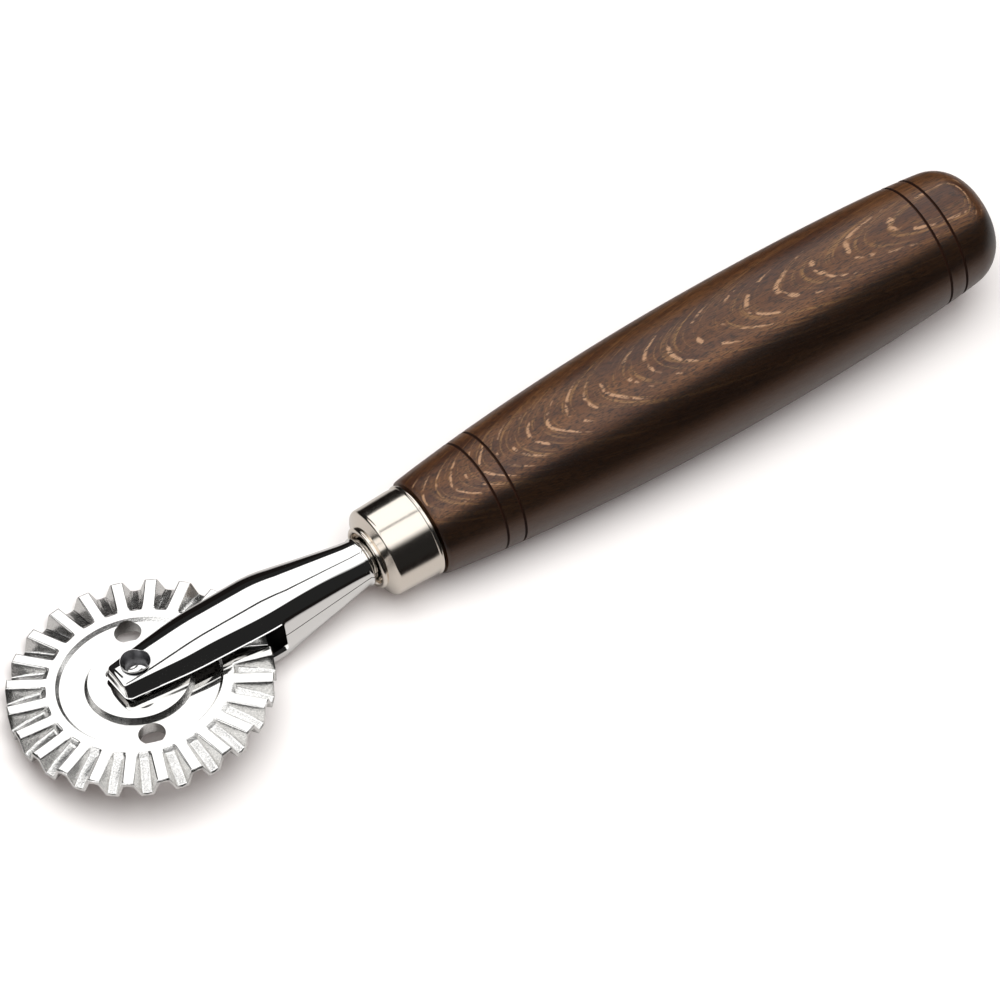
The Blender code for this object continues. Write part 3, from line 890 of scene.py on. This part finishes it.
def fork_shell(name, side, node):
    """A pressed half of the fork, drawn from its tip to its neck and then given its thickness."""
    shape = bmesh.new()
    tip = ARM_TIP_ROUND
    angles = np.radians(np.linspace(0, 90, TIP_STEPS))
    rounds = [(ARM_TIP + tip * (1 - math.cos(a)), tip * (1 - math.sin(a))) for a in angles]
    chain = [shape.verts.new(point) for point in fork_section(*rounds[0])]
    edges = chain_edges(shape, chain)
    closing = shape.edges.new((chain[0], chain[-1]))
    bmesh.ops.contextual_create(shape, geom=[closing] + edges)
    sections = [fork_section(x, shrink) for x, shrink in rounds[1:]]
    sections += [fork_section(x) for x in np.linspace(ARM_TIP + tip, SLOT_END, ARM_STEPS)[1:]]
    chain = swept(shape, chain, sections)
    crotch = fork_section(SLOT_END, neck_side=True)
    for end, points in ((0, crotch[1::-1]), (-1, crotch[-2:])):
        corner = chain[end]
        for point in points:
            corner = bmesh.ops.extrude_vert_indiv(shape, verts=[corner])["verts"][0]
            corner.co = point
            chain = [corner] + chain if end == 0 else chain + [corner]
    neck = [*np.linspace(SLOT_END, NECK_BEAD[0], NECK_STEPS)[1:], *NECK_BEAD[1:], NECK_END]
    swept(shape, chain, [fork_section(x, neck_side=True) for x in neck])
    bmesh.ops.scale(shape, vec=(1, 1, side), verts=shape.verts)
    bmesh.ops.remove_doubles(shape, verts=shape.verts, dist=MERGE_GAP)
    bmesh.ops.recalc_face_normals(shape, faces=shape.faces)
    crest = max(shape.faces, key=lambda face: face.calc_center_median().z * side)
    if crest.normal.z * side < 0:
        bmesh.ops.reverse_faces(shape, faces=shape.faces)
    turn_out_edge(shape, side)
    shell = placed(name, shape, [CHROME, UNPOLISHED_INSIDE_PAINTED_SHADE], "root", node)
    sheet = shell.modifiers.new("sheet", "SOLIDIFY")
    sheet.thickness = SHEET * MM
    sheet.offset = -1
    # the sheet's inner face takes the second finish, whose dark colour is painted shade
    sheet.material_offset = 1
    sheet.use_even_offset = True
    drilled(shell, RIVET_HOLE_RADIUS, [(0, 0)], 4 * CREST_HEIGHT)
    bevelled(shell, SHEET_ROUND, 3)


def axle_rivet():
    """A tube with dished ends, flared and pressed down so that they follow the arms' crowns."""
    crown = fork_size(0)[1]
    bottom = crown - RIVET_BOTTOM_DEPTH
    upper = [
        (share * RIVET_BOTTOM_RADIUS, bottom - RIVET_DISH * (1 - share**2))
        for share in np.linspace(0, 1, RIVET_DISH_POINTS)
    ]
    upper += [(radius, crown - depth) for radius, depth in RIVET_BORE]
    rim_centre = (RIVET_RIM_RADIUS, crown - RIVET_RIM / 2)
    upper += arc(rim_centre, RIVET_RIM, 180, 0, RIVET_RIM_STEPS)
    upper += [(radius, crown - depth) for radius, depth in RIVET_OUTSIDE]
    upper.append((SHANK_RADIUS, SHANK_MIDDLE))
    lower = [(radius, -height) for radius, height in reversed(upper)]
    shape = turned(upper + lower, RIVET_SIDES, closed=False)
    for face in shape.faces:
        wall = abs(face.normal.z) < math.cos(math.radians(STEEP))
        inside = face.calc_center_median().xy.length < RIVET_MOUTH_RADIUS
        face.material_index = int(wall and inside)
    for corner in shape.verts:
        if corner.co.xy.length > RIVET_BOTTOM_RADIUS and abs(corner.co.z) > crown - RIVET_FLARE:
            rise = fork_size(corner.co.x)[1] - crown - crown_drop(corner.co.y)
            corner.co.z += math.copysign(rise, corner.co.z)
    finishes = [CHROME, STEEL]
    placed("flared_rivet", shape, finishes, "root", "axle_rivet", RIVET_SHARP)


def ferrule():
    """A drawn cup: a rolled lip at its nose, a cone up to its round shoulder, and a back bead."""
    plate = FERRULE_FRONT + FERRULE_WALL / 2
    bead = FERRULE_BEAD / 2
    bead_centre = (FERRULE_BACK_RADIUS + FERRULE_BEAD_HEIGHT - bead, FERRULE_BACK - bead)
    bead_front = FERRULE_BACK - FERRULE_BEAD
    shoulder = (FERRULE_FRONT_RADIUS - SHOULDER_ROUND, FERRULE_FRONT + SHOULDER_SETBACK)
    inner_shoulder = (FERRULE_FRONT_RADIUS - SHOULDER_INSIDE, FERRULE_FRONT + SHOULDER_INSIDE)
    profile = [
        (FERRULE_BACK_RADIUS - FERRULE_WALL, FERRULE_BACK),
        *arc(bead_centre, bead, *BEAD_ANGLES, BEAD_STEPS),
        *((FERRULE_BACK_RADIUS - depth, bead_front - ahead) for depth, ahead in BEAD_HOLLOW),
        *arc(shoulder, SHOULDER_ROUND, 0, SHOULDER_ANGLE, SHOULDER_STEPS),
        *arc((LIP_RADIUS, FERRULE_FRONT - LIP_SETOUT), LIP_BEAD, *LIP_ANGLES, LIP_STEPS),
        (LIP_RADIUS - LIP_BEAD, plate),
        (NECK_BORE, plate),
        (NECK_BORE, FERRULE_FRONT + FERRULE_WALL),
        *arc(inner_shoulder, SHOULDER_INSIDE - FERRULE_WALL, -90, 0, SHOULDER_INSIDE_STEPS),
    ]
    shape = turned(profile, FERRULE_SIDES, closed=True, along="X")
    placed("drawn_ferrule", shape, [NICKEL], "root", "ferrule", TURNED_SHARP)


def wood_curve():
    """(distance, radius) along the wood's outside, from the ferrule to the butt's rounding."""
    lean_angle = math.radians(BUTT_LEAN)
    round_centre = Vector((BUTT_X - BUTT_ROUND, BUTT_FLAT_RADIUS))
    start = Vector((HANDLE_SHOULDER, HANDLE_FRONT_RADIUS))
    belly = Vector((BELLY_X, BELLY_RADIUS))
    reach = Vector((BELLY_REACH, 0))
    lean = Vector((math.cos(lean_angle), -math.sin(lean_angle)))
    end = round_centre + BUTT_ROUND * Vector((math.sin(lean_angle), math.cos(lean_angle)))
    swell = FRONT_SWELL * Vector((1, FRONT_SWELL_SLOPE))
    ahead, behind = WOOD_POINTS
    front = interpolate_bezier(start, start + swell, belly - reach, belly, ahead)
    back = interpolate_bezier(belly, belly + reach, end - BUTT_ROUND * lean, end, behind)
    return [tuple(point) for point in front + back[1:]]


def wood_outline():
    """The wood's outside with its grooves and its rounded butt, as (distance, radius) points."""
    curve = wood_curve()
    places, radii = zip(*curve)
    outline = []
    for groove in GROOVES:
        radius = float(np.interp(groove, places, radii))
        for step in np.linspace(-1, 1, GROOVE_POINTS):
            depth = GROOVE_DEPTH * (1 - step**2) ** 0.5
            outline.append((groove + step * GROOVE_WIDTH / 2, radius - depth))
    for place, radius in curve:
        if all(abs(place - groove) > GROOVE_WIDTH for groove in GROOVES):
            outline.append((place, radius))
    centre = (BUTT_FLAT_RADIUS, BUTT_X - BUTT_ROUND)
    rounding = arc(centre, BUTT_ROUND, BUTT_LEAN, 90, BUTT_STEPS)[1:]
    return sorted(outline) + [(height, radius) for radius, height in rounding]


def handle():
    """The turned wood, with the tenon that the ferrule holds and the bore for the tang."""
    outside = [(radius, place) for place, radius in reversed(wood_outline())]
    front_radius, front_place = outside.pop()
    profile = [
        (0, BUTT_X),
        *outside,
        (front_radius, front_place + HANDLE_CHAMFER),
        (front_radius - HANDLE_CHAMFER, front_place),
        (TENON_RADIUS, HANDLE_SHOULDER),
        (TENON_RADIUS, TENON_START),
        (TANG_BORE, TENON_START),
        (TANG_BORE, TANG_BORE_END),
        (0, TANG_BORE_END),
    ]
    shape = turned(profile, HANDLE_SIDES, closed=False, along="X")
    for face in shape.faces:
        place = face.calc_center_median()
        in_groove = any(abs(place.x - groove) < GROOVE_WIDTH / 2 for groove in GROOVES)
        face.material_index = int(in_groove and place.yz.length > TENON_RADIUS)
    placed("turned_handle", shape, [WOOD, BURNT], "root", "handle", TURNED_SHARP)


def camera():
    """The photograph's camera, fitted to the ends of the ribs and the outline of the handle."""
    back = Vector(CAMERA_BACK).normalized()
    right = Vector(CAMERA_UP).cross(back).normalized()
    turn = Matrix((right, back.cross(right), back)).transposed().to_4x4()
    turn.translation = Vector(CAMERA_PLACE) * MM
    lens = bpy.data.cameras.new("camera")
    lens.lens = CAMERA_LENS
    lens.sensor_width = CAMERA_SENSOR
    lens.clip_end = CAMERA_REACH
    made = linked("camera", lens)
    made.matrix_world = TOOL @ turn
    bpy.context.scene.camera = made


def within(tree, ways, edges):
    """1 inside all the soft edges, given as (way, 0 from, 1 from), and 0 outside any of them."""
    inside = 1.0
    for way, none, full in edges:
        edge = add_node(
            tree,
            "ShaderNodeMapRange",
            {"Value": ways[way], "From Min": none, "From Max": full},
            interpolation_type="SMOOTHSTEP",
        )
        both = add_node(
            tree, "ShaderNodeMath", {0: inside, 1: edge.outputs["Result"]}, operation="MULTIPLY"
        )
        inside = both.outputs["Value"]
    return inside


def white_table():
    """A matt white table, which the mirrors of the tool see as a lit patch in a dark room."""
    shape = bmesh.new()
    bmesh.ops.create_grid(shape, x_segments=2, y_segments=2, size=TABLE_HALF)
    mesh = meshed("table", shape)
    made, tree, out = new_material("white_table")
    path = add_node(tree, "ShaderNodeLightPath")
    place = add_node(tree, "ShaderNodeTexCoord").outputs["Object"]
    apart = add_node(tree, "ShaderNodeSeparateXYZ", {"Vector": place})
    lit = within(tree, apart.outputs, TABLE_EDGES)
    away = add_node(
        tree, "ShaderNodeMath", {0: lit, 1: -TABLE_IN_MIRRORS, 2: 1.0}, operation="MULTIPLY_ADD"
    )
    dark = add_node(
        tree,
        "ShaderNodeMath",
        {0: away.outputs["Value"], 1: path.outputs["Is Glossy Ray"]},
        operation="MULTIPLY",
    )
    shine = add_node(
        tree,
        "ShaderNodeMath",
        {0: path.outputs["Is Camera Ray"], 1: TABLE_GLOW},
        operation="MULTIPLY",
    )
    paper = add_node(tree, "ShaderNodeBsdfDiffuse", {"Color": linear(TABLE_WHITE)})
    glow = add_node(
        tree, "ShaderNodeEmission", {"Color": linear(FILL), "Strength": shine.outputs["Value"]}
    )
    shown = add_node(
        tree, "ShaderNodeAddShader", {0: paper.outputs["BSDF"], 1: glow.outputs["Emission"]}
    )
    room = add_node(tree, "ShaderNodeEmission", {"Color": linear(ROOM_DARK)})
    mixed = add_node(
        tree,
        "ShaderNodeMixShader",
        {0: dark.outputs["Value"], 1: shown.outputs["Shader"], 2: room.outputs["Emission"]},
    )
    tree.links.new(mixed.outputs["Shader"], out.inputs["Surface"])
    mesh.materials.append(made)
    table = linked("table", mesh)


def softbox_ways(tree):
    """How far a way goes along, across, sideways and from the softbox's seam."""
    way = add_node(tree, "ShaderNodeTexCoord").outputs["Generated"]
    apart = add_node(tree, "ShaderNodeSeparateXYZ", {"Vector": way}).outputs
    ways = {}
    for name, axis, over in (("along", "X", "Z"), ("across", "Y", "Z"), ("sideways", "X", "Y")):
        least = add_node(
            tree, "ShaderNodeMath", {0: apart[over], 1: HORIZON}, operation="MAXIMUM"
        )
        ways[name] = add_node(
            tree,
            "ShaderNodeMath",
            {0: apart[axis], 1: least.outputs["Value"]},
            operation="DIVIDE",
        ).outputs["Value"]
    beside = add_node(
        tree, "ShaderNodeMath", {0: ways["across"], 1: SOFTBOX_SEAM}, operation="SUBTRACT"
    )
    ways["from_seam"] = add_node(
        tree, "ShaderNodeMath", {0: beside.outputs["Value"]}, operation="ABSOLUTE"
    ).outputs["Value"]
    return ways


def studio():
    """A wide softbox overhead in a dark room, with a seam in it and a post before its far end.

    Only the mirrors see it. The camera sees plain white behind the table.
    """
    world = bpy.data.worlds.new("studio")
    world.use_nodes = True
    bpy.context.scene.world = world
    tree = world.node_tree
    tree.nodes.clear()
    out = add_node(tree, "ShaderNodeOutputWorld")
    ways = softbox_ways(tree)
    box = within(tree, ways, (*SOFTBOX_EDGES, ("from_seam", *SOFTBOX_HEM)))
    clear = add_node(
        tree, "ShaderNodeMath", {0: 1.0, 1: within(tree, ways, POST_EDGES)}, operation="SUBTRACT"
    )
    shown_box = add_node(
        tree, "ShaderNodeMath", {0: box, 1: clear.outputs["Value"]}, operation="MULTIPLY"
    )
    level = add_node(
        tree,
        "ShaderNodeMapRange",
        {"Value": shown_box.outputs["Value"], "To Min": ROOM_LEVEL, "To Max": SOFTBOX_LEVEL},
    ).outputs["Result"]
    path = add_node(tree, "ShaderNodeLightPath")
    light = {"mirrored": (WHITE, level), "given": (FILL, FILL_LEVEL), "seen": (WHITE, 1.0)}
    sky = {}
    for name, (code, strength) in light.items():
        shade = add_node(
            tree, "ShaderNodeBackground", {"Color": linear(code), "Strength": strength}
        )
        sky[name] = shade.outputs["Background"]
    lit = add_node(
        tree,
        "ShaderNodeMixShader",
        {0: path.outputs["Is Glossy Ray"], 1: sky["given"], 2: sky["mirrored"]},
    )
    shown = add_node(
        tree,
        "ShaderNodeMixShader",
        {0: path.outputs["Is Camera Ray"], 1: lit.outputs["Shader"], 2: sky["seen"]},
    )
    tree.links.new(shown.outputs["Shader"], out.inputs["Surface"])


def lamp():
    """The light that makes the soft shadow, which the mirrors don't see."""
    light = bpy.data.lights.new("overhead_light", "AREA")
    light.size = LAMP_SIZE
    light.energy = LAMP_WATTS
    made = linked("overhead_light", light)
    made.location = LAMP_PLACE
    made.rotation_euler = (-Vector(LAMP_PLACE)).to_track_quat("-Z", "Y").to_euler()
    made.visible_glossy = False


fluted_wheel()
fork_shell("upper_pressing", 1, "upper_fork_shell")
fork_shell("lower_pressing", -1, "lower_fork_shell")
axle_rivet()
ferrule()
handle()
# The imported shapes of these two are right, and only get their finish
for name in ("axle_sleeve", "tang"):
    frame["nodes"][name].data.materials.clear()
    frame["nodes"][name].data.materials.append(STEEL)
camera()
white_table()
studio()
lamp()
bpy.context.scene.view_settings.view_transform = "Standard"
